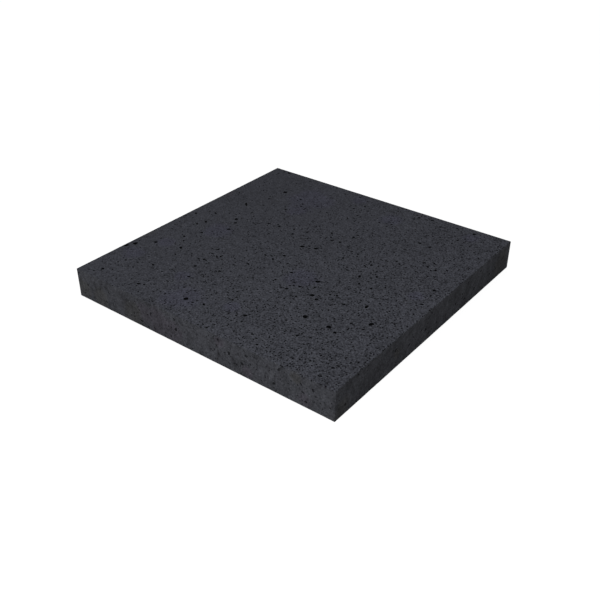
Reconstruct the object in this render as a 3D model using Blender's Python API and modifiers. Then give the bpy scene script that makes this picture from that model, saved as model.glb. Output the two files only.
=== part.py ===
"""Granite slab: a sawn square of stone, the firm bed for stamping and tooling leather.

Metres, +Z up. The slab lies flat. Its underside is at Z = 0, its centre is on the
Z axis, and its sides are parallel to X and Y. It is one piece of stone, so it is one
object, and nothing on it moves.
"""
import bpy

# Driving dimensions
SIDE = 0.300                 # the plan is square
SIDE_PER_THICKNESS = 10.0
ARRIS = 0.0004               # narrow chamfer that takes the bite off each sawn edge

# Derived dimension
THICKNESS = SIDE / SIDE_PER_THICKNESS

# Finish of the stone
STONE_COLOUR = (0.037, 0.038, 0.045, 1.0)
STONE_ROUGHNESS = 0.75
STONE_METALLIC = 0.0

COLLECTION_NAME = "granite_slab"
SLAB_NAME = "stone_slab"


def clear_scene():
    """Remove every object of the scene that is open."""
    for obj in list(bpy.data.objects):
        bpy.data.objects.remove(obj, do_unlink=True)


def make_collection(name):
    """Return a new collection, linked to the scene."""
    collection = bpy.data.collections.new(name)
    bpy.context.scene.collection.children.link(collection)
    return collection


def make_material(name, colour, roughness, metallic):
    """Return a material whose Principled shader has the given values."""
    material = bpy.data.materials.new(name)
    material.use_nodes = True
    shader = material.node_tree.nodes["Principled BSDF"]
    shader.inputs["Base Color"].default_value = colour
    shader.inputs["Roughness"].default_value = roughness
    shader.inputs["Metallic"].default_value = metallic
    material.diffuse_color = colour
    return material


def move_to_collection(obj, collection):
    """Put the object in one collection and take it out of all others."""
    for owner in list(obj.users_collection):
        owner.objects.unlink(obj)
    collection.objects.link(obj)


def make_slab(collection, material):
    """Make the sawn block of stone with an arris along each of its twelve edges."""
    bpy.ops.mesh.primitive_cube_add(size=1.0, location=(0.0, 0.0, THICKNESS / 2.0))
    slab = bpy.context.active_object
    slab.name = SLAB_NAME
    slab.data.name = SLAB_NAME
    slab.scale = (SIDE, SIDE, THICKNESS)
    bpy.ops.object.transform_apply(location=False, rotation=False, scale=True)

    arris = slab.modifiers.new("arris", "BEVEL")
    arris.width = ARRIS
    arris.segments = 1

    slab.data.materials.append(material)
    move_to_collection(slab, collection)
    return slab


def main():
    """Build the slab."""
    clear_scene()
    collection = make_collection(COLLECTION_NAME)
    stone = make_material("charcoal_stone", STONE_COLOUR, STONE_ROUGHNESS, STONE_METALLIC)
    make_slab(collection, stone)


main()
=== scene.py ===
"""Looks of the granite slab: a sawn block of dark, finely pored stone on a pale studio floor.

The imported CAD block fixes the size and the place. The visible slab is made as the real one
is: a block is sawn, its edges are eased to a narrow arris, and the pores that the saw
opened are cut into it. Metres, +Z up; the underside lies at Z = 0.
"""

import logging
import math
import random
from collections.abc import Iterable
from dataclasses import dataclass, field, replace
from enum import Enum, IntEnum
from itertools import product

import bmesh
import bpy
from mathutils import Matrix, Vector, noise


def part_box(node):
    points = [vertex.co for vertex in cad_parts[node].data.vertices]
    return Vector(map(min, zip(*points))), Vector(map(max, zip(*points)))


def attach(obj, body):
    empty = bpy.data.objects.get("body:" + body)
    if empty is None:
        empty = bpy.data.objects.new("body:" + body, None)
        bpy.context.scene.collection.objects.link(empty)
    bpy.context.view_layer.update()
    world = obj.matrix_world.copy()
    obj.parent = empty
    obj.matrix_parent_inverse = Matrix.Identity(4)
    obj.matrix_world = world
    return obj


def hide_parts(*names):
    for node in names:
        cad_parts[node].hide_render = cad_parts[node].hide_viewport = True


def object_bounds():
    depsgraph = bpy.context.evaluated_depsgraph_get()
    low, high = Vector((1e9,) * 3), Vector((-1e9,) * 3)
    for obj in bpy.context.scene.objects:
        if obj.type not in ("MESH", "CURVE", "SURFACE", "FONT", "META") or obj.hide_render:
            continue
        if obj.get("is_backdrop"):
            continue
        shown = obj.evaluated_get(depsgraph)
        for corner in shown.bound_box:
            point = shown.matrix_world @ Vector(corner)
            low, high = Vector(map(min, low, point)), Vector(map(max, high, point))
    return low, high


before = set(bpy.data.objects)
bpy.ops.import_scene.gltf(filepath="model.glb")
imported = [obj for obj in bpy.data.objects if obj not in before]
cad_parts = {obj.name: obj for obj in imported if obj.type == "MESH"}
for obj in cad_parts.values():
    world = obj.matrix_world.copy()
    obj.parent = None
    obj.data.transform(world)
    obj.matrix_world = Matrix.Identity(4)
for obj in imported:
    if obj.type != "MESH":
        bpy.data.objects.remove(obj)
CAD_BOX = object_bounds()

LOG = logging.getLogger("granite_slab")
MM = 0.001
TOLERANCE = 0.01 * MM
CAD_NODE = "stone_slab"
BODY = "root"
PORE_ATTRIBUTE = "pore_depth"
# Chips are painted paler: partly fresh broken stone, partly a painted highlight on the arris.
CHIP_ATTRIBUTE = "fresh_chip_and_highlight"
WHITE = (1.0, 1.0, 1.0)

Socket = bpy.types.NodeSocket
Colour = tuple[float, float, float]
Source = Socket | float | Colour


class Face(Enum):
    """The six sawn faces, by outward normal and the two directions along the face."""

    TOP = ((0, 0, 1), (1, 0, 0), (0, 1, 0))
    UNDERSIDE = ((0, 0, -1), (1, 0, 0), (0, -1, 0))
    FRONT = ((0, -1, 0), (1, 0, 0), (0, 0, 1))
    BACK = ((0, 1, 0), (-1, 0, 0), (0, 0, 1))
    RIGHT = ((1, 0, 0), (0, 1, 0), (0, 0, 1))
    LEFT = ((-1, 0, 0), (0, -1, 0), (0, 0, 1))

    @property
    def normal(self) -> Vector:
        """Outward direction."""
        return Vector(self.value[0])

    @property
    def across(self) -> Vector:
        """First direction along the face."""
        return Vector(self.value[1])

    @property
    def along(self) -> Vector:
        """Second direction along the face."""
        return Vector(self.value[2])


BROAD_FACES = (Face.TOP, Face.UNDERSIDE)
SIDE_FACES = (Face.FRONT, Face.BACK, Face.LEFT, Face.RIGHT)


@dataclass(frozen=True)
class Block:
    """The sawn block's place and size, read from the frame, and its arris, in metres."""

    low: Vector
    high: Vector
    arris: float = 0.4 * MM

    @property
    def centre(self) -> Vector:
        """Middle of the block."""
        return (self.low + self.high) / 2

    @property
    def half(self) -> Vector:
        """Half of the block's size along X, Y and Z."""
        return (self.high - self.low) / 2

    def reach(self, direction: Vector) -> float:
        """Distance from the middle to the face that lies in an axis direction."""
        return sum(abs(d) * h for d, h in zip(direction, self.half))

    def on_face(self, face: Face, across: float, along: float) -> Vector:
        """Find a point on a face.

        Args:
            face: The face that the point lies on.
            across: Distance from the face's middle along its first direction.
            along: Distance from the face's middle along its second direction.

        Returns:
            The point in the row frame.
        """
        middle = self.centre + face.normal * self.reach(face.normal)
        return middle + face.across * across + face.along * along

    def gaps(self, point: Vector) -> list[float]:
        """Distances from a point inside the block to its nearest faces along X, Y and Z."""
        return [half - abs(place) for place, half in zip(point - self.centre, self.half)]


class Surface(IntEnum):
    """What a part of the slab's skin is, kept as a material index while it is cut."""

    SAWN = 0
    PORE = 1
    CHIP = 2


@dataclass(frozen=True)
class DishShape:
    """Shape of a cutter: its rings as (share of radius, share of depth), and its outline."""

    rings: tuple[tuple[float, float], ...]
    sides: int
    unevenness: float
    lobes: tuple[int, ...] = (2, 3, 4)
    lobe_swell: float = 1.2
    jitter: float = 0.06
    lid_rise: float = 1.2


FINE_DISH = DishShape(((1.3, 0.5), (0.7, -0.5)), 7, 0.18)
MIDDLE_DISH = DishShape(((1.25, 0.5), (0.8, -0.4), (0.42, -0.86)), 10, 0.22)
DEEP_DISH = DishShape(((1.12, 0.4), (0.91, -0.3), (0.7, -0.7), (0.36, -0.93)), 16, 0.26)
CHIP_DISH = DishShape(((1.4, 0.6), (0.74, -0.4), (0.35, -0.85)), 8, 0.3)


@dataclass(frozen=True)
class Pore:
    """One opened pore, as a dish that is cut into the surface."""

    place: Matrix
    radius: float
    depth: float
    stretch: float
    shape: DishShape
    surface: Surface = Surface.PORE

    @property
    def centre(self) -> Vector:
        """Middle of the pore's mouth."""
        return self.place.translation

    @property
    def reach(self) -> float:
        """Radius of a ball round the mouth that holds the whole cutter."""
        widest = self.shape.rings[0][0] * (1 + self.shape.unevenness)
        return max(self.radius * self.stretch * widest, self.depth)


@dataclass(frozen=True)
class PoreFamily:
    """What the pores of one kind look like, and how many of them each face is offered."""

    name: str
    radius: tuple[float, float]
    depth_share: tuple[float, float]
    stretch: tuple[float, float]
    shape: DishShape
    top: int
    underside: int
    each_side: int
    smallness: int = 2

    def offered(self, face: Face) -> int:
        """Pores that a face is offered."""
        return {Face.TOP: self.top, Face.UNDERSIDE: self.underside}.get(face, self.each_side)


@dataclass(frozen=True)
class ChipFamily:
    """What the chips look like, and how many of them each metre of edge is offered."""

    per_metre: int = 60
    radius: tuple[float, float] = (0.25 * MM, 0.55 * MM)
    half_length: tuple[float, float] = (0.3 * MM, 1.4 * MM)
    depth_share: tuple[float, float] = (0.3, 0.8)
    sink: float = 0.7
    shape: DishShape = CHIP_DISH


@dataclass(frozen=True)
class Pit:
    """A large pore, placed from its face's middle, in millimetres and degrees."""

    across: float
    along: float
    width: float
    length: float
    turn: float = 0.0
    face: Face = Face.TOP


class Spacing:
    """Keeps the pores of one batch apart, so that their cutters never meet."""

    def __init__(self, pitch: float) -> None:
        """Start with no pores, in cells of the given size."""
        self.pitch = pitch
        self.cells: dict[tuple[int, ...], list[Pore]] = {}

    def cell(self, point: Vector) -> tuple[int, ...]:
        """Cell that a point lies in."""
        return tuple(int(place // self.pitch) for place in point)

    def near(self, pore: Pore) -> Iterable[Pore]:
        """Pores in the cells round a pore."""
        i, j, k = self.cell(pore.centre)
        for di, dj, dk in product((-1, 0, 1), repeat=3):
            yield from self.cells.get((i + di, j + dj, k + dk), ())

    def takes(self, pore: Pore) -> bool:
        """Add a pore if it is clear of the others.

        Args:
            pore: The pore.

        Returns:
            Whether it was added.
        """
        if any((pore.centre - other.centre).length < pore.reach + other.reach
               for other in self.near(pore)):
            return False
        self.cells.setdefault(self.cell(pore.centre), []).append(pore)
        return True


@dataclass
class PoreField:
    """Where the slab's pores are: families that are drawn, and pits that are listed.

    The shares say how many of the pores offered at a point the stone keeps.
    """

    block: Block
    draw: random.Random
    patch_size: float = 38 * MM
    patch_share: float = 0.25
    lean_share: float = 0.95
    evenness: float = 0.45
    middle_share: float = 0.38
    rise_across: float = 0.33
    rise_along: float = -0.08
    side_share: float = 0.6
    least_share: float = 0.05

    def crowding(self, face: Face, point: Vector) -> float:
        """Share of the pores that the stone keeps at a point.

        Args:
            face: The face that the point lies on.
            point: The point in the row frame.

        Returns:
            The share, from 0 to 1. On the broad faces it rises from the back left to the
            front right, and it is patchy everywhere.
        """
        patches = 0.5 + 0.5 * noise.noise(point / self.patch_size)
        lean = self.side_share
        if face in BROAD_FACES:
            rise = self.rise_across * point.x + self.rise_along * point.y
            lean = self.middle_share + rise / self.block.half.x
        patchy = self.evenness + (1 - self.evenness) * patches
        share = self.patch_share * patches + self.lean_share * lean * patchy
        return min(1.0, max(self.least_share, share))

    def place_on(self, face: Face, across: float, along: float, turn: float) -> Matrix:
        """Make the frame of a pore: its X and Y lie in the face and its Z points out.

        Args:
            face: The face that the pore opens on.
            across: Distance from the face's middle along its first direction.
            along: Distance from the face's middle along its second direction.
            turn: Angle of the pore's length from the first direction, in radians.

        Returns:
            The frame.
        """
        axes = Matrix((face.across, face.along, face.normal)).transposed().to_4x4()
        point = self.block.on_face(face, across, along)
        return Matrix.Translation(point) @ axes @ Matrix.Rotation(turn, 4, "Z")

    def draw_pore(self, family: PoreFamily, face: Face) -> Pore | None:
        """Draw one pore of a family on a face.

        Args:
            family: The kind of pore.
            face: The face that it opens on.

        Returns:
            The pore, or None where the stone has none.
        """
        across = self.draw.uniform(-1, 1) * self.block.reach(face.across)
        along = self.draw.uniform(-1, 1) * self.block.reach(face.along)
        place = self.place_on(face, across, along, self.draw.uniform(0, math.pi))
        if self.draw.random() > self.crowding(face, place.translation):
            return None
        small, large = family.radius
        radius = small + (large - small) * self.draw.random() ** family.smallness
        depth = radius * self.draw.uniform(*family.depth_share)
        return Pore(place, radius, depth, self.draw.uniform(*family.stretch), family.shape)

    def scatter(self, family: PoreFamily) -> list[Pore]:
        """Draw all pores of a family.

        Args:
            family: The kind of pore.

        Returns:
            The pores, none of which touch.
        """
        widest = family.radius[1] * family.stretch[1] * family.shape.rings[0][0]
        spacing = Spacing(2 * widest * (1 + family.shape.unevenness))
        drawn = (
            self.draw_pore(family, face)
            for face in BROAD_FACES + SIDE_FACES
            for _ in range(family.offered(face))
        )
        return [pore for pore in drawn if pore is not None and spacing.takes(pore)]

    def set_pits(self, pits: Iterable[Pit], wear: float, depth_share: float) -> list[Pore]:
        """Turn the listed pits into pores to cut.

        Args:
            pits: The listed pits.
            wear: What their worn rims add to their width and length.
            depth_share: Their depth as a share of half their width.

        Returns:
            The pores, in the same order.
        """
        pores = []
        for pit in pits:
            turn = math.radians(pit.turn)
            place = self.place_on(pit.face, pit.across * MM, pit.along * MM, turn)
            width = pit.width * MM + wear
            length = pit.length * MM + wear
            depth = width / 2 * depth_share
            pores.append(Pore(place, width / 2, depth, length / width, DEEP_DISH))
        return pores

    def chip_edges(self, family: ChipFamily) -> list[Pore]:
        """Draw the small chips along the twelve arrises.

        Args:
            family: The kind of chip.

        Returns:
            The chips, none of which touch.
        """
        spacing = Spacing(4 * family.half_length[1])
        chips = []
        for first, second in self.edges():
            run = first.normal.cross(second.normal)
            out = (first.normal + second.normal).normalized()
            axes = Matrix((run, out.cross(run), out)).transposed().to_4x4()
            corner = first.normal * self.block.reach(first.normal)
            corner += second.normal * self.block.reach(second.normal)
            sunk = out * self.block.arris * family.sink
            for _ in range(round(family.per_metre * 2 * self.block.reach(run))):
                slide = self.draw.uniform(-1, 1) * self.block.reach(run)
                radius = self.draw.uniform(*family.radius)
                stretch = max(1.0, self.draw.uniform(*family.half_length) / radius)
                place = Matrix.Translation(self.block.centre + corner + run * slide - sunk) @ axes
                depth = radius * self.draw.uniform(*family.depth_share)
                chip = Pore(place, radius, depth, stretch, family.shape, Surface.CHIP)
                if spacing.takes(chip):
                    chips.append(chip)
        return chips

    @staticmethod
    def edges() -> list[tuple[Face, Face]]:
        """Pairs of faces that share an edge."""
        faces = list(Face)
        return [
            (first, second)
            for i, first in enumerate(faces)
            for second in faces[i + 1:]
            if first.normal.dot(second.normal) == 0
        ]


@dataclass
class Mason:
    """Makes the slab's mesh: saws the block, eases its edges and cuts its pores."""

    block: Block
    draw: random.Random
    cell: float = 6 * MM
    wander: float = 0.4
    wander_waves: tuple[tuple[float, float], ...] = ((9 * MM, 1.0), (2.5 * MM, 0.6))

    def saw(self, name: str) -> bpy.types.Object:
        """Make the block with a narrow, slightly uneven arris on each edge.

        Args:
            name: The object's name.

        Returns:
            The block, in the scene.
        """
        shape = bmesh.new()
        bmesh.ops.create_cube(shape, size=1.0)
        bmesh.ops.scale(shape, vec=self.block.half * 2, verts=shape.verts)
        bmesh.ops.translate(shape, vec=self.block.centre, verts=shape.verts)
        bmesh.ops.bevel(
            shape, geom=shape.edges[:], offset=self.block.arris, segments=1, affect="EDGES"
        )
        self.rule_cells(shape)
        self.ease_edges(shape)
        return self.to_object(shape, name)

    @staticmethod
    def to_object(shape: bmesh.types.BMesh, name: str) -> bpy.types.Object:
        """Put a finished shape in the scene and free it."""
        mesh = bpy.data.meshes.new(name)
        shape.to_mesh(mesh)
        shape.free()
        piece = bpy.data.objects.new(name, mesh)
        bpy.context.scene.collection.objects.link(piece)
        return piece

    def rule_cells(self, shape: bmesh.types.BMesh) -> None:
        """Divide the faces into cells, so that each one holds only a few pores."""
        for axis in range(3):
            length = self.block.half[axis] * 2
            count = max(1, round(length / self.cell))
            normal = Vector((0, 0, 0))
            normal[axis] = 1
            for step in range(1, count):
                point = self.block.low.copy()
                point[axis] += length * step / count
                everything = shape.verts[:] + shape.edges[:] + shape.faces[:]
                bmesh.ops.bisect_plane(shape, geom=everything, plane_co=point, plane_no=normal)

    def ease_edges(self, shape: bmesh.types.BMesh) -> None:
        """Let the arris widen and narrow along the edges, without leaving the faces."""
        arris = self.block.arris
        for vert in shape.verts:
            gaps = self.block.gaps(vert.co)
            offset = vert.co - self.block.centre
            wave = sum(size * noise.noise(vert.co / length) for length, size in self.wander_waves)
            for axis in range(3):
                if math.isclose(gaps[axis], arris, abs_tol=TOLERANCE):
                    offset[axis] -= math.copysign(arris * self.wander * wave, offset[axis])
            vert.co = self.block.centre + offset

    def cut(self, slab: bpy.types.Object, pores: list[Pore]) -> None:
        """Cut a batch of pores out of the slab.

        Args:
            slab: The slab. Its new faces get the pores' kind of surface.
            pores: Pores that don't touch each other.
        """
        shape = bmesh.new()
        for pore in pores:
            for wall in self.add_dish(shape, pore):
                wall.material_index = pore.surface
        tool = self.to_object(shape, "pore_cutter")
        boolean = slab.modifiers.new("pores", "BOOLEAN")
        boolean.operation = "DIFFERENCE"
        boolean.solver = "MANIFOLD"
        boolean.object = tool
        whole = slab.data
        graph = bpy.context.evaluated_depsgraph_get()
        slab.data = bpy.data.meshes.new_from_object(slab.evaluated_get(graph))
        slab.data.name = slab.name
        slab.modifiers.clear()
        bpy.data.meshes.remove(whole)
        bpy.data.meshes.remove(tool.data)

    def add_dish(self, shape: bmesh.types.BMesh, pore: Pore) -> list[bmesh.types.BMFace]:
        """Add one closed dish with an uneven outline.

        Args:
            shape: The mesh that it is added to.
            pore: The pore that it opens.

        Returns:
            The dish's faces.
        """
        dish = pore.shape
        angles = [math.tau * step / dish.sides for step in range(dish.sides)]
        swells = self.swell_outline(dish, angles)
        rings = []
        for share, height in dish.rings:
            ring = []
            for angle, swell in zip(angles, swells):
                jitter = self.draw.uniform(1 - dish.jitter, 1 + dish.jitter)
                radius = pore.radius * share * swell * jitter
                x = radius * pore.stretch * math.cos(angle)
                y = radius * math.sin(angle)
                ring.append(shape.verts.new(pore.place @ Vector((x, y, pore.depth * height))))
            rings.append(ring)
        lid_height = pore.depth * dish.rings[0][1] * dish.lid_rise
        lid = shape.verts.new(pore.place @ Vector((0, 0, lid_height)))
        floor = shape.verts.new(pore.place @ Vector((0, 0, -pore.depth)))
        walls = []
        for step in range(dish.sides):
            following = (step + 1) % dish.sides
            walls.append(shape.faces.new((lid, rings[0][step], rings[0][following])))
            walls.append(shape.faces.new((rings[-1][step], floor, rings[-1][following])))
            for upper, lower in zip(rings, rings[1:]):
                corners = (upper[step], lower[step], lower[following], upper[following])
                walls.append(shape.faces.new(corners))
        return walls

    def swell_outline(self, dish: DishShape, angles: list[float]) -> list[float]:
        """Draw how far an outline swells and shrinks on its way round.

        Args:
            dish: The shape.
            angles: The angles of the outline's corners, in radians.

        Returns:
            The factor for the radius at each angle, about 1.
        """
        waves = [
            (
                lobes,
                self.draw.uniform(0, dish.unevenness * dish.lobe_swell / lobes),
                self.draw.uniform(0, math.tau),
            )
            for lobes in dish.lobes
        ]
        return [
            1 + sum(size * math.cos(lobes * angle + start) for lobes, size, start in waves)
            for angle in angles
        ]

    def finish_surface(self, slab: bpy.types.Object, full_depth: float) -> None:
        """Shade the sawn faces flat and the rest smooth, and note what each point is.

        Args:
            slab: The slab, cut.
            full_depth: Depth at which a pore is painted fully dark, with dirt and painted shade.
        """
        mesh = slab.data
        points: dict[Surface, set[int]] = {kind: set() for kind in Surface}
        for polygon in mesh.polygons:
            kind = Surface(polygon.material_index)
            points[kind].update(polygon.vertices)
            polygon.use_smooth = kind is not Surface.SAWN
            polygon.material_index = 0
        inside_pores = points[Surface.PORE] - points[Surface.SAWN] - points[Surface.CHIP]
        depth = mesh.attributes.new(PORE_ATTRIBUTE, "FLOAT", "POINT")
        for index in inside_pores:
            gap = min(self.block.gaps(mesh.vertices[index].co))
            depth.data[index].value = min(1.0, gap / full_depth)
        fresh_and_highlit = mesh.attributes.new(CHIP_ATTRIBUTE, "FLOAT", "POINT")
        for index in points[Surface.CHIP] - points[Surface.SAWN]:
            fresh_and_highlit.data[index].value = 1.0


@dataclass(frozen=True)
class Layer:
    """One layer of noise: the size of its spots, how strong it is, and its finer detail.

    The size is in the unit of the place that the noise is given.
    """

    size: float
    contrast: float = 1.0
    detail: float = 2.0
    roughness: float = 0.5
    stretch: tuple[float, float, float] = (1.0, 1.0, 1.0)
    shift: float = 0.0
    tilt: tuple[float, float, float] = (0.6, 0.4, 0.9)


class NodeSketch:
    """Short calls that add and join the nodes of one tree."""

    NOISE_GAIN = 4.0

    def __init__(self, tree: bpy.types.NodeTree) -> None:
        """Keep the tree that the nodes go in."""
        self.tree = tree

    def add(
        self, kind: str, inputs: dict[str | int, Source] | None = None, **settings: object
    ) -> bpy.types.Node:
        """Add a node.

        Args:
            kind: The node's type.
            inputs: What goes into it, by the input's name or number.
            **settings: Properties to set on it.

        Returns:
            The node.
        """
        node = self.tree.nodes.new(kind)
        for name, value in settings.items():
            setattr(node, name, value)
        self.fill(node, inputs or {})
        return node

    def fill(self, node: bpy.types.Node, inputs: dict[str | int, Source]) -> None:
        """Join sockets to a node's inputs, or set the inputs' own values.

        Args:
            node: The node.
            inputs: What goes into it, by the input's name or number.
        """
        for key, value in inputs.items():
            target = node.inputs[key]
            if isinstance(value, Socket):
                self.tree.links.new(value, target)
            elif isinstance(value, tuple):
                target.default_value = (*value, 1.0)[: len(target.default_value)]
            else:
                target.default_value = value

    def math(self, operation: str, *values: Socket | float, clamp: bool = False) -> Socket:
        """Add a Math node.

        Args:
            operation: What it works out.
            *values: Its inputs.
            clamp: Whether the result stays between 0 and 1.

        Returns:
            The result.
        """
        inputs = dict(enumerate(values))
        return self.add("ShaderNodeMath", inputs, operation=operation, use_clamp=clamp).outputs[0]

    def ramp(
        self, value: Socket, low: float, high: float, start: float = 0.0, end: float = 1.0
    ) -> Socket:
        """Map a value smoothly from one range to another.

        Args:
            value: The value.
            low: Where the ramp starts.
            high: Where it ends.
            start: Result at its start and before it.
            end: Result at its end and after it.

        Returns:
            The result.
        """
        inputs = dict(enumerate((value, low, high, start, end)))
        return self.add("ShaderNodeMapRange", inputs, interpolation_type="SMOOTHSTEP").outputs[0]

    def noise(self, where: Socket, layer: Layer) -> Socket:
        """Add noise that swings round 0, mostly within plus and minus its contrast.

        Its lattice is tilted, so that no face cuts it along a row.

        Args:
            where: The place.
            layer: What the noise is like.

        Returns:
            The noise.
        """
        squeeze = self.add("ShaderNodeMapping", {
            "Vector": where,
            "Scale": tuple(1 / (layer.size * share) for share in layer.stretch),
            "Rotation": layer.tilt,
            "Location": (layer.shift, -layer.shift, layer.shift / 2),
        })
        texture = self.add("ShaderNodeTexNoise", {
            "Vector": squeeze.outputs[0],
            "Scale": 1.0,
            "Detail": layer.detail,
            "Roughness": layer.roughness,
        })
        gain = self.NOISE_GAIN * layer.contrast
        return self.math("MULTIPLY_ADD", texture.outputs[0], gain, -gain / 2)

    def dots(self, where: Socket, pitch: float, shift: float) -> tuple[Socket, Socket]:
        """Add scattered dots.

        Args:
            where: The place.
            pitch: The mean distance between dots, in the unit of the place.
            shift: Moves the pattern, so that two of one pitch differ.

        Returns:
            The distance to the nearest dot, and that dot's own random number.
        """
        moved = self.add("ShaderNodeVectorMath", {0: where, 1: (shift, shift, -shift)})
        inputs = {"Vector": moved.outputs[0], "Scale": 1 / pitch}
        texture = self.add("ShaderNodeTexVoronoi", inputs)
        parts = self.add("ShaderNodeSeparateColor", {0: texture.outputs["Color"]})
        return self.math("MULTIPLY", texture.outputs["Distance"], pitch), parts.outputs[0]

    def mix(self, share: Socket, under: Socket | float, over: Socket | float) -> Socket:
        """Mix two numbers, which a Mix node takes as its inputs 2 and 3.

        Args:
            share: How much of the second number counts.
            under: The first number.
            over: The second number.

        Returns:
            The mixed number.
        """
        inputs = {0: share, 2: under, 3: over}
        return self.add("ShaderNodeMix", inputs, data_type="FLOAT").outputs[0]

    def blend(self, share: Socket, under: Socket | Colour, over: Socket | Colour) -> Socket:
        """Mix two colours, which a Mix node takes as its inputs 6 and 7 and gives as output 2.

        Args:
            share: How much of the upper colour shows.
            under: The lower colour.
            over: The upper colour.

        Returns:
            The mixed colour.
        """
        inputs = {0: share, 6: under, 7: over}
        return self.add("ShaderNodeMix", inputs, data_type="RGBA").outputs[2]


@dataclass(frozen=True)
class Stain:
    """A soft, round patch of another hue, placed from its face's middle, in millimetres."""

    across: float
    along: float
    width: float
    face: Face = Face.TOP

    def centre(self, block: Block) -> tuple[float, float, float]:
        """Middle of the stain in millimetres, as the stone's nodes count them."""
        return tuple(block.on_face(self.face, self.across * MM, self.along * MM) / MM)


VIOLET_STAINS = (
    Stain(-65, 104, 52), Stain(-62, 74, 24), Stain(30, 118, 24), Stain(-22, 134, 18),
    Stain(115, 132, 18), Stain(-97, -12, 32), Stain(30, -34, 34), Stain(-35, -126, 42),
    Stain(-60, -98, 18), Stain(11, -110, 17), Stain(-131, -96, 24), Stain(-120, -62, 20),
    Stain(128, 4, 16),
    Stain(70, 0, 34, Face.BACK),
    Stain(-70, 60, 46, Face.UNDERSIDE), Stain(55, -20, 38, Face.UNDERSIDE),
    Stain(-20, -95, 30, Face.UNDERSIDE),
)
ROSE_STAINS = (
    Stain(-58, 0, 24, Face.FRONT), Stain(-42, 0, 32, Face.FRONT), Stain(-24, -4, 24, Face.FRONT),
    Stain(31, 9, 12, Face.FRONT), Stain(61, -8, 13, Face.FRONT), Stain(121, -8, 13, Face.FRONT),
    Stain(-60, 4, 30, Face.LEFT),
)
WARM_STAINS = (
    Stain(-142, -4, 22, Face.FRONT), Stain(-119, -6, 24, Face.FRONT),
    Stain(-75, -4, 25, Face.FRONT), Stain(112, 10, 12, Face.FRONT),
    Stain(-140, -8, 24, Face.RIGHT), Stain(-62, 0, 12, Face.RIGHT), Stain(132, -4, 30, Face.RIGHT),
    Stain(-50, -4, 40, Face.BACK),
    Stain(60, 0, 34, Face.LEFT),
    Stain(105, 95, 40, Face.UNDERSIDE),
)
DAMP_STAINS = (
    Stain(-82, -1, 26, Face.FRONT), Stain(-66, -8, 20, Face.FRONT), Stain(-50, 3, 40, Face.FRONT),
    Stain(-24, -9, 24, Face.FRONT), Stain(-148, 2, 8, Face.FRONT),
    Stain(-120, 0, 74, Face.RIGHT), Stain(-72, 0, 44, Face.RIGHT), Stain(-10, 4, 26, Face.RIGHT),
    Stain(126, -6, 34, Face.RIGHT),
    Stain(10, 0, 30, Face.BACK),
    Stain(90, -3, 26, Face.LEFT),
)


@dataclass(frozen=True)
class Spot:
    """What the stone's nodes know of the point that they colour.

    The place is in millimetres. The side is 1 on the four sides, the arris is 1 on the
    arrises, and the lean runs from -1 at the back left corner to 1 at the front right one.
    """

    LEAN_ACROSS = 0.75
    LEAN_FORWARD = 0.25

    block: Block
    where: Socket
    side: Socket
    arris: Socket
    lean: Socket

    @classmethod
    def on_block(cls, nodes: NodeSketch, block: Block) -> "Spot":
        """Work out the sockets from the point's place on the block.

        Args:
            nodes: The tree.
            block: The block.

        Returns:
            What the nodes know of the point.
        """
        inputs = {0: nodes.add("ShaderNodeTexCoord").outputs["Object"], "Scale": 1 / MM}
        where = nodes.add("ShaderNodeVectorMath", inputs, operation="SCALE").outputs[0]
        x, y, z = nodes.add("ShaderNodeSeparateXYZ", {0: where}).outputs
        reach = block.half.x / MM
        out = nodes.math("MAXIMUM", nodes.math("ABSOLUTE", x), nodes.math("ABSOLUTE", y))
        side_gap = nodes.math("SUBTRACT", reach, out)
        off_middle = nodes.math("ABSOLUTE", nodes.math("SUBTRACT", z, block.centre.z / MM))
        broad_gap = nodes.math("SUBTRACT", block.half.z / MM, off_middle)
        side = nodes.math("LESS_THAN", side_gap, broad_gap)
        either_gap = nodes.math("MAXIMUM", side_gap, broad_gap)
        arris = nodes.ramp(either_gap, block.arris / MM, 2 * block.arris / MM, 1.0, 0.0)
        lean = nodes.math("MULTIPLY", y, -cls.LEAN_FORWARD / reach)
        lean = nodes.math("MULTIPLY_ADD", x, cls.LEAN_ACROSS / reach, lean)
        return cls(block, where, side, arris, lean)


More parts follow.
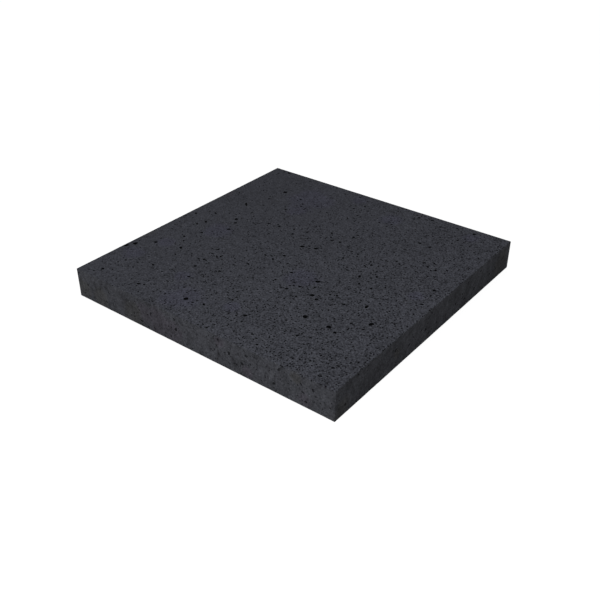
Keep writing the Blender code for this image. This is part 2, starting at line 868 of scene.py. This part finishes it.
@dataclass(frozen=True)
class StoneFinish:
    """Dark basalt-like stone: charcoal ground, fine grain, open pores, soft stains.

    Sizes of patterns are in millimetres, and so are pairs of radii: where a spot starts to
    fade and where it ends. Values named for the side hold on the slab's four sides.
    """

    name: str = "charcoal_stone"
    ground: Colour = (0.0330, 0.0344, 0.0417)
    edge: Colour = (0.0340, 0.0351, 0.0406)
    violet: Colour = (0.0346, 0.0352, 0.0478)
    rose: Colour = (0.0362, 0.0340, 0.0414)
    warm: Colour = (0.0342, 0.0342, 0.0355)
    speck_colour: Colour = (0.096, 0.099, 0.111)
    # Pores are painted near black: partly dirt, partly painted shade in the hollows.
    pore_dirt_and_painted_shade: Colour = (0.0010, 0.0010, 0.0014)
    dark_from: float = 0.6
    # Chips are painted paler: partly fresh broken stone, partly a painted highlight along the
    # arrises.
    chip_strength: float = 0.35

    # Light and dark of the ground, with painted light across the broad faces and painted shade on
    # the arrises
    grain: Layer = Layer(1.7, 0.92, 3, 0.75)
    mottle: Layer = Layer(6, 0.22, 3, 0.6, shift=9)
    cloud: Layer = Layer(55, 0.06, shift=4)
    streak: Layer = Layer(4.5, 0.20, 2, 0.6, (1, 1, 4.5), shift=6)
    blotch: Layer = Layer(12, 0.15, stretch=(1, 1, 1.6), shift=1)
    lean_contrast: float = 0.28
    # Painted light: the broad faces are painted lighter towards the front right and darker towards
    # the back left.
    painted_light_lean: float = 0.08
    side_grain: float = 0.68
    side_mottle: float = 1.3
    side_pores: float = 0.65
    darkest_tone: float = 0.12
    damp_tone: float = 0.86
    # The arrises are painted darker: painted shade that evens out the extra light they catch.
    arris_painted_shade: float = 0.85

    # Soft stains
    stain_share: float = 0.85
    stain_edge: tuple[float, float] = (0.55, 1.2)
    stain_wander: Layer = Layer(14, 0.3, 3, 0.6)

    # Pale mineral specks
    speck_pitch: float = 2.1
    speck_radii: tuple[float, float] = (0.15, 0.6)
    speck_strength: float = 0.75
    speck_share: float = 0.38
    side_specks: float = 0.21

    # Pinholes: pores too small to be cut, painted dark with dirt and painted shade
    pin_pitch: float = 2.2
    pin_radii: tuple[float, float] = (0.66, 1.02)
    pin_shrink: float = 0.6
    pin_share: float = 0.2
    pin_lean: float = 0.24
    pin_patches: Layer = Layer(30, 0.1, shift=8)
    side_pins: float = 0.4

    # Gloss and relief
    roughness: float = 0.78
    pore_roughness: float = 0.2
    wear: Layer = Layer(2.2, 0.06, 3, 0.6, shift=7)
    specular: float = 0.07
    relief: Layer = Layer(0.45, 0.35, 3, 0.6, shift=3)
    pin_relief: float = 1.4
    bump_strength: float = 0.6
    bump_distance: float = 0.09 * MM

    def material(self, block: Block) -> bpy.types.Material:
        """Make the stone's material.

        Args:
            block: The block, for where its broad faces and sides are.

        Returns:
            The material.
        """
        material = bpy.data.materials.new(self.name)
        material.use_nodes = True
        nodes = NodeSketch(material.node_tree)
        spot = Spot.on_block(nodes, block)
        pore = nodes.add("ShaderNodeAttribute", attribute_name=PORE_ATTRIBUTE).outputs["Fac"]
        fresh_and_highlit = nodes.add("ShaderNodeAttribute", attribute_name=CHIP_ATTRIBUTE).outputs["Fac"]
        # Chips painted paler: fresh stone and a painted highlight on the arris.
        pale = nodes.math("MULTIPLY", fresh_and_highlit, self.chip_strength)
        pale = nodes.math("MAXIMUM", self.pale_specks(nodes, spot), pale)
        pinholes = self.pinholes(nodes, spot)
        # Dirt and painted shade darken the pores and pinholes.
        dark = nodes.math("MAXIMUM", nodes.ramp(pore, 0.0, self.dark_from), pinholes)
        dark = nodes.math("MULTIPLY", dark, nodes.mix(spot.side, 1.0, self.side_pores))
        colour = nodes.blend(pale, self.ground_colour(nodes, spot), self.speck_colour)
        colour = nodes.blend(dark, colour, self.pore_dirt_and_painted_shade)

        rough = nodes.math("ADD", nodes.noise(spot.where, self.wear), self.roughness)
        worn = nodes.math("MULTIPLY", dark, self.pore_roughness)
        sunk = nodes.math("MULTIPLY", pinholes, self.pin_relief)
        bump = nodes.add("ShaderNodeBump", {
            "Strength": self.bump_strength,
            "Distance": self.bump_distance,
            "Height": nodes.math("SUBTRACT", nodes.noise(spot.where, self.relief), sunk),
        })
        nodes.fill(material.node_tree.nodes["Principled BSDF"], {
            "Base Color": colour,
            "Roughness": nodes.math("ADD", rough, worn, clamp=True),
            "Specular IOR Level": self.specular,
            "Normal": bump.outputs[0],
        })
        return material

    def ground_colour(self, nodes: NodeSketch, spot: Spot) -> Socket:
        """Mix the ground: charcoal with its soft stains, then its light and dark.

        Args:
            nodes: The tree.
            spot: The point.

        Returns:
            The colour.
        """
        colour = nodes.blend(spot.side, self.ground, self.edge)
        for stains, hue, shift in (
            (VIOLET_STAINS, self.violet, 11),
            (ROSE_STAINS, self.rose, 3),
            (WARM_STAINS, self.warm, 5),
        ):
            colour = nodes.blend(self.stained(nodes, spot, stains, shift), colour, hue)
        inputs = {0: colour, "Scale": self.tone(nodes, spot)}
        return nodes.add("ShaderNodeVectorMath", inputs, operation="SCALE").outputs[0]

    def stained(
        self, nodes: NodeSketch, spot: Spot, stains: Iterable[Stain], shift: float
    ) -> Socket:
        """Spread soft stains with wandering outlines.

        Args:
            nodes: The tree.
            spot: The point.
            stains: The stains of one colour.
            shift: Moves the outlines' pattern, so that two colours differ.

        Returns:
            How much of the stain's colour shows.
        """
        nearest: Socket | float = 2 * self.stain_edge[1]
        for stain in stains:
            ends = {0: spot.where, 1: stain.centre(spot.block)}
            apart = nodes.add("ShaderNodeVectorMath", ends, operation="DISTANCE")
            share = nodes.math("MULTIPLY", apart.outputs["Value"], 2 / stain.width)
            nearest = nodes.math("MINIMUM", nearest, share)
        wander = nodes.noise(spot.where, replace(self.stain_wander, shift=shift))
        edge = nodes.math("ADD", wander, nearest)
        return nodes.ramp(edge, *self.stain_edge, self.stain_share, 0.0)

    def tone(self, nodes: NodeSketch, spot: Spot) -> Socket:
        """Work out how light the ground is: its grain, mottling, clouds, saw streaks and darker
        patches, with painted light across the broad faces and painted shade on the arrises.

        Args:
            nodes: The tree.
            spot: The point.

        Returns:
            The factor that the ground's colour is scaled by, about 1.
        """
        where = spot.where
        strength = nodes.math("MULTIPLY_ADD", spot.lean, self.lean_contrast, 1.0)
        grain_strength = nodes.mix(spot.side, strength, self.side_grain)
        mottle_strength = nodes.mix(spot.side, strength, self.side_mottle)
        grain = nodes.math("MULTIPLY", nodes.noise(where, self.grain), grain_strength)
        mottle = nodes.math("MULTIPLY", nodes.noise(where, self.mottle), mottle_strength)
        sawn = nodes.math("ADD", nodes.noise(where, self.streak), nodes.noise(where, self.blotch))
        tone = nodes.math("ADD", grain, mottle)
        tone = nodes.math("ADD", tone, nodes.noise(where, self.cloud))
        tone = nodes.math("MULTIPLY_ADD", sawn, spot.side, tone)
        tone = nodes.math("MAXIMUM", nodes.math("ADD", tone, 1.0), self.darkest_tone)

        # Painted light: the broad faces lighter towards the front right, darker towards the back
        # left.
        painted_light_leaning = nodes.math("MULTIPLY_ADD", spot.lean, self.painted_light_lean, 1.0)
        damp = self.stained(nodes, spot, DAMP_STAINS, shift=8)
        for factor in (
            nodes.mix(spot.side, painted_light_leaning, 1.0),
            nodes.mix(damp, 1.0, self.damp_tone),
            # Painted shade on the arrises.
            nodes.mix(spot.arris, 1.0, self.arris_painted_shade),
        ):
            tone = nodes.math("MULTIPLY", tone, factor)
        return tone

    def pale_specks(self, nodes: NodeSketch, spot: Spot) -> Socket:
        """Scatter pale mineral specks.

        Args:
            nodes: The tree.
            spot: The point.

        Returns:
            How much of the speck's colour shows.
        """
        gap, chance = nodes.dots(spot.where, self.speck_pitch, shift=30)
        share = nodes.mix(spot.side, self.speck_share, self.side_specks)
        present = nodes.math("LESS_THAN", chance, share)
        speck = nodes.ramp(gap, *self.speck_radii, self.speck_strength, 0.0)
        return nodes.math("MULTIPLY", speck, present)

    def pinholes(self, nodes: NodeSketch, spot: Spot) -> Socket:
        """Scatter pinholes, more of them towards the front right.

        Args:
            nodes: The tree.
            spot: The point.

        Returns:
            How dark the pinhole is.
        """
        crowd = nodes.math("MULTIPLY_ADD", spot.lean, self.pin_lean, self.pin_share)
        crowd = nodes.math("ADD", crowd, nodes.noise(spot.where, self.pin_patches))
        crowd = nodes.math("MULTIPLY", crowd, nodes.mix(spot.side, 1.0, self.side_pins))
        gap, chance = nodes.dots(spot.where, self.pin_pitch, shift=60)
        present = nodes.math("LESS_THAN", chance, crowd)
        gap = nodes.math("MULTIPLY_ADD", chance, self.pin_shrink, gap)
        hole = nodes.ramp(gap, *self.pin_radii, 1.0, 0.0)
        return nodes.math("MULTIPLY", hole, present)


@dataclass(frozen=True)
class PaleFinish:
    """Plain pale paint of the studio floor, with a trace of roller texture."""

    name: str = "pale_floor"
    paint: Colour = (0.46, 0.46, 0.46)
    paint_thin: Colour = (0.44, 0.44, 0.44)
    roller: Layer = Layer(0.02, detail=3)
    roughness: float = 0.9
    specular: float = 0.1
    glow: float = 1.33
    wash: float = 0.68

    def material(self) -> bpy.types.Material:
        """Make the floor's material."""
        material = bpy.data.materials.new(self.name)
        material.use_nodes = True
        nodes = NodeSketch(material.node_tree)
        place = nodes.add("ShaderNodeTexCoord").outputs["Object"]
        roller = nodes.ramp(nodes.noise(place, self.roller), -1, 1)
        paint = material.node_tree.nodes["Principled BSDF"]
        nodes.fill(paint, {
            "Base Color": nodes.blend(roller, self.paint, self.paint_thin),
            "Roughness": self.roughness,
            "Specular IOR Level": self.specular,
        })
        glow = nodes.add("ShaderNodeEmission", {"Strength": self.glow})
        seen = nodes.add("ShaderNodeLightPath").outputs["Is Camera Ray"]
        share = nodes.math("MULTIPLY", seen, self.wash)
        layers = {0: share, 1: paint.outputs[0], 2: glow.outputs[0]}
        washed = nodes.add("ShaderNodeMixShader", layers)
        nodes.fill(material.node_tree.nodes["Material Output"], {"Surface": washed.outputs[0]})
        return material


PITS = (
    Pit(-100, 102, 3.8, 4.2, 20), Pit(-129, 146, 2.0, 4.4, -30), Pit(-44, 139, 1.4, 2.0),
    Pit(-26, 142, 1.8, 2.2), Pit(-9, 126, 2.0, 2.8, -40), Pit(-16, 115, 1.8, 2.6, -50),
    Pit(51, 139, 2.4, 3.0, 90), Pit(48, 133, 2.2, 2.6), Pit(65, 142, 2.2, 2.6),
    Pit(79, 134, 1.8, 3.0, 80), Pit(94, 142, 1.8, 2.4), Pit(114, 141, 2.2, 4.4, 85),
    Pit(107, 119, 1.8, 2.0), Pit(92, 90, 2.4, 3.0, 60), Pit(80, 91, 2.2, 2.6),
    Pit(-75, 98, 1.8, 2.4, 30), Pit(-72, 68, 2.0, 2.6, -20), Pit(-57, 81, 1.6, 2.2, -50),
    Pit(-114, 52, 1.8, 7.0, -48), Pit(-99, 19, 3.2, 3.8, -35), Pit(-94, 12, 2.6, 3.4, 40),
    Pit(-90, -3, 2.8, 3.6, -20), Pit(-120, -5, 2.2, 3.6, -45), Pit(-126, 16, 1.8, 3.2, -45),
    Pit(-142, 3, 1.8, 3.2, -60), Pit(-124, -14, 2.0, 2.6, -40), Pit(-107, -25, 2.0, 2.4, 10),
    Pit(-115, -42, 1.8, 3.2, -45), Pit(-66, 32, 1.8, 2.2), Pit(-53, 34, 2.0, 2.6, -30),
    Pit(-49, 41, 1.4, 1.8), Pit(-32, 29, 2.2, 3.0, 70), Pit(-23, 41, 1.8, 2.6, 30),
    Pit(-8, 14, 3.0, 4.6, 50), Pit(-3, 19, 1.8, 2.2), Pit(5, 19, 3.0, 3.6, -30),
    Pit(-2, 55, 1.4, 2.0, 30), Pit(3, 47, 1.6, 2.4, -40), Pit(8, 42, 1.8, 3.4, 35),
    Pit(16, 44, 2.2, 2.8, -20), Pit(28, 41, 1.8, 2.4, 60), Pit(21, 61, 2.2, 2.8, 90),
    Pit(22, 67, 1.6, 2.0), Pit(44, 35, 1.6, 2.6, -50), Pit(-11, -11, 2.2, 2.6),
    Pit(-20, -19, 1.6, 2.2), Pit(-15, -23, 1.6, 3.0, -50), Pit(37, 20, 2.0, 3.0, -45),
    Pit(66, 25, 2.2, 3.0, -40), Pit(62, 30, 1.6, 2.4, 80), Pit(62, 20, 1.6, 2.2),
    Pit(82, 10, 1.8, 2.6, -40), Pit(79, 5, 1.6, 2.0), Pit(89, -10, 1.8, 2.2),
    Pit(76, -10, 1.6, 2.6, -55), Pit(69, 1, 1.8, 4.4, -65), Pit(136, 22, 2.4, 3.4, 70),
    Pit(139, -5, 2.2, 2.6), Pit(110, 55, 2.2, 2.8, -50), Pit(119, 54, 2.2, 2.8, -60),
    Pit(128, 60, 1.4, 1.8), Pit(104, 60, 1.6, 2.0), Pit(112, 64, 1.6, 2.4, -60),
    Pit(44, -30, 4.0, 4.4), Pit(15, -32, 2.2, 3.2, 15), Pit(11, -51, 1.6, 2.4, -45),
    Pit(54, -52, 3.4, 4.0, 20), Pit(61, -55, 2.4, 3.2, -20), Pit(28, -51, 1.4, 2.0, 60),
    Pit(29, -57, 2.4, 3.0, 70), Pit(36, -47, 2.0, 2.6, 40), Pit(66, -41, 1.4, 1.8),
    Pit(72, -39, 1.8, 2.6, -50), Pit(85, -47, 1.8, 2.4), Pit(107, -67, 1.8, 2.6, 70),
    Pit(70, -83, 3.4, 5.0, -48), Pit(95, -83, 3.4, 3.8, 20), Pit(104, -87, 2.6, 3.0),
    Pit(121, -58, 3.0, 5.8, 78), Pit(103, -38, 2.4, 5.0, 88), Pit(82, -109, 1.8, 2.6, 60),
    Pit(131, -127, 1.8, 2.6, 20), Pit(28, -113, 2.4, 4.0, 35), Pit(-12, -122, 1.8, 3.2, -45),
    Pit(-31, -125, 3.4, 4.6, 82), Pit(-46, -112, 1.8, 2.2), Pit(-56, -96, 1.8, 2.8, -30),
    Pit(-58, -50, 1.8, 2.6, -40), Pit(-29, -44, 1.6, 2.0), Pit(-67, -64, 1.8, 3.0, -30),
    Pit(-40, -71, 1.8, 2.4), Pit(-72, -66, 1.4, 2.0), Pit(-65, -78, 2.2, 2.8, 30),
    Pit(-109, -49, 1.4, 2.4, -45), Pit(-101, -61, 2.0, 4.2, -40), Pit(-129, -68, 3.0, 3.6, 30),
    Pit(-143, -82, 3.6, 5.4, -70), Pit(-147, -90, 3.2, 5.4, 84), Pit(-98, -101, 1.8, 2.8, -30),
    Pit(-83, -133, 2.4, 3.2, 20), Pit(-78, -131, 1.4, 1.8), Pit(-130, -135, 2.2, 3.2, -30),
    Pit(-136, 2, 1.6, 2.4, 90, Face.FRONT), Pit(-64, -9, 1.6, 3.6, 10, Face.FRONT),
    Pit(-51, 4, 1.6, 3.0, 75, Face.FRONT), Pit(-20, 0, 2.6, 3.4, 60, Face.FRONT),
    Pit(-21, 10, 1.6, 3.0, 80, Face.FRONT), Pit(30, 11, 1.8, 2.6, 90, Face.FRONT),
    Pit(42, 2, 1.8, 3.8, 85, Face.FRONT), Pit(56, -2, 2.6, 3.2, 0, Face.FRONT),
    Pit(61, 8, 2.2, 2.8, 20, Face.FRONT), Pit(90, -6, 1.6, 2.8, 60, Face.FRONT),
    Pit(95, 10, 2.0, 2.6, 90, Face.FRONT), Pit(122, -9, 2.0, 2.8, 30, Face.FRONT),
    Pit(129, 6, 2.2, 2.8, 80, Face.FRONT),
    Pit(-136, -6, 1.8, 2.4, 0, Face.RIGHT), Pit(-64, 4, 1.8, 3.2, 70, Face.RIGHT),
    Pit(-42, -3, 2.0, 2.8, 30, Face.RIGHT), Pit(-15, -2, 1.6, 3.4, 10, Face.RIGHT),
    Pit(57, -6, 1.6, 3.6, 0, Face.RIGHT), Pit(76, -4, 1.8, 2.4, 60, Face.RIGHT),
    Pit(107, -3, 2.2, 3.0, 20, Face.RIGHT),
)


@dataclass
class StoneSlab:
    """The slab: one block of stone that stands for the CAD block."""

    block: Block
    name: str = "sawn_stone_slab"
    seed: int = 2718
    pit_wear: float = 0.65 * MM
    pit_depth_share: float = 0.85
    # Depth at which the pores' dirt and painted shade is full.
    dark_depth: float = 0.15 * MM
    chips: ChipFamily = ChipFamily()
    families: tuple[PoreFamily, ...] = (
        PoreFamily(
            "fine", radius=(0.38 * MM, 0.8 * MM), depth_share=(0.36, 0.48), stretch=(1.0, 1.5),
            shape=FINE_DISH, top=2100, underside=700, each_side=80,
        ),
        PoreFamily(
            "middle", radius=(0.6 * MM, 1.15 * MM), depth_share=(0.38, 0.6), stretch=(1.0, 1.8),
            shape=MIDDLE_DISH, top=1000, underside=220, each_side=70,
        ),
    )
    piece: bpy.types.Object | None = field(default=None, init=False)

    def build(self) -> bpy.types.Object:
        """Saw the block, cut its pores and fix it to the frame.

        Returns:
            The slab.
        """
        draw = random.Random(self.seed)
        pores = PoreField(self.block, draw)
        mason = Mason(self.block, draw)
        slab = mason.saw(self.name)
        for kind in Surface:
            slab.data.materials.append(bpy.data.materials.new(kind.name))
        batches = {family.name: pores.scatter(family) for family in self.families}
        batches["pits"] = pores.set_pits(PITS, self.pit_wear, self.pit_depth_share)
        batches["chips"] = pores.chip_edges(self.chips)
        for name, batch in batches.items():
            mason.cut(slab, batch)
            LOG.info("cut %d pores of the %s batch", len(batch), name)
        mason.finish_surface(slab, self.dark_depth)
        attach(slab, BODY)
        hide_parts(CAD_NODE)
        self.piece = slab
        return slab

    def dress(self, finish: StoneFinish) -> None:
        """Give the slab its stone."""
        self.piece.data.materials.clear()
        self.piece.data.materials.append(finish.material(self.block))


@dataclass
class Studio:
    """Pale floor, plain soft light and the camera.

    Lengths and places are in metres and angles in degrees. The lens and the sensor are in
    millimetres, as a camera's are.
    """

    block: Block
    camera_azimuth: float = 37.77
    camera_elevation: float = 32.52
    camera_target: tuple[float, float, float] = (0.0359, -0.0463, 0.015)
    camera_distance: float = 0.7419
    lens: float = 48.5
    sensor_width: float = 36.0
    sight_range: tuple[float, float] = (0.01, 100.0)
    floor_size: float = 60.0
    floor_gap: float = 0.05 * MM
    overhead_power: float = 2.35
    overhead_spread: float = 110.0
    key_place: tuple[float, float, float] = (0.20, -0.78, 0.38)
    key_size: tuple[float, float] = (0.9, 0.6)
    key_power: float = 5.65
    ambient: float = 0.06
    backdrop: float = 1.1

    def build(self) -> None:
        """Lay the floor and set the lamps, the surroundings and the camera."""
        self.lay_floor()
        self.light_from_above()
        self.light_from_front()
        self.surround()
        self.set_camera()

    def lay_floor(self) -> None:
        """Lay a wide pale floor just under the slab."""
        bpy.ops.mesh.primitive_plane_add(
            size=self.floor_size, location=(0, 0, self.block.low.z - self.floor_gap)
        )
        floor = bpy.context.active_object
        floor.name = "studio_floor"
        floor.data.materials.append(PaleFinish().material())
        floor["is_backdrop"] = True

    def light_from_above(self) -> None:
        """Add the wide, even light of the ceiling."""
        lamp = bpy.data.lights.new("overhead_light", "SUN")
        lamp.energy = self.overhead_power
        lamp.angle = math.radians(self.overhead_spread)
        bpy.context.scene.collection.objects.link(bpy.data.objects.new(lamp.name, lamp))

    def light_from_front(self) -> None:
        """Add a soft box in front of the slab, turned to its middle."""
        lamp = bpy.data.lights.new("front_softbox", "AREA")
        lamp.shape = "RECTANGLE"
        lamp.size, lamp.size_y = self.key_size
        lamp.energy = self.key_power
        holder = bpy.data.objects.new(lamp.name, lamp)
        holder.location = self.key_place
        holder.rotation_mode = "QUATERNION"
        back = Vector(self.key_place) - self.block.centre
        holder.rotation_quaternion = back.to_track_quat("Z", "Y")
        holder.visible_camera = False
        bpy.context.scene.collection.objects.link(holder)

    def surround(self) -> None:
        """Make the surroundings: white to look at, and dim as a light."""
        world = bpy.data.worlds.new("white_studio")
        world.use_nodes = True
        nodes = NodeSketch(world.node_tree)
        dim = world.node_tree.nodes["Background"]
        nodes.fill(dim, {"Color": WHITE, "Strength": self.ambient})
        bright = nodes.add("ShaderNodeBackground", {"Color": WHITE, "Strength": self.backdrop})
        seen = nodes.add("ShaderNodeLightPath").outputs["Is Camera Ray"]
        layers = {0: seen, 1: dim.outputs[0], 2: bright.outputs[0]}
        either = nodes.add("ShaderNodeMixShader", layers)
        nodes.fill(world.node_tree.nodes["World Output"], {"Surface": either.outputs[0]})
        bpy.context.scene.world = world
        bpy.context.scene.view_settings.view_transform = "Standard"

    def set_camera(self) -> None:
        """Set the camera in front of the slab's right corner, looking down on it."""
        turn, lift = math.radians(self.camera_azimuth), math.radians(self.camera_elevation)
        level = math.cos(lift)
        back = Vector((math.sin(turn) * level, -math.cos(turn) * level, math.sin(lift)))
        lens = bpy.data.cameras.new("camera")
        lens.lens = self.lens
        lens.sensor_width = self.sensor_width
        lens.clip_start, lens.clip_end = self.sight_range
        camera = bpy.data.objects.new("camera", lens)
        camera.location = Vector(self.camera_target) + back * self.camera_distance
        camera.rotation_mode = "QUATERNION"
        camera.rotation_quaternion = back.to_track_quat("Z", "Y")
        bpy.context.scene.collection.objects.link(camera)
        bpy.context.scene.camera = camera


def write_sizes() -> None:
    """Gather the CAD box and the visual model's box as plain lists of numbers, which are then
    dropped.
    """
    boxes = {"cad": CAD_BOX, "visual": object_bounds()}
    {name: [list(low), list(high)] for name, (low, high) in boxes.items()}


def main() -> None:
    """Build the slab and the studio in order, and report each piece."""
    logging.basicConfig(level=logging.INFO, format="%(message)s")
    block = Block(*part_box(CAD_NODE))
    Studio(block).build()
    LOG.info("the studio is set")
    slab = StoneSlab(block)
    piece = slab.build()
    slab.dress(StoneFinish())
    LOG.info("%s has %d faces", piece.name, len(piece.data.polygons))


if __name__ == "__main__":
    main()
    write_sizes()
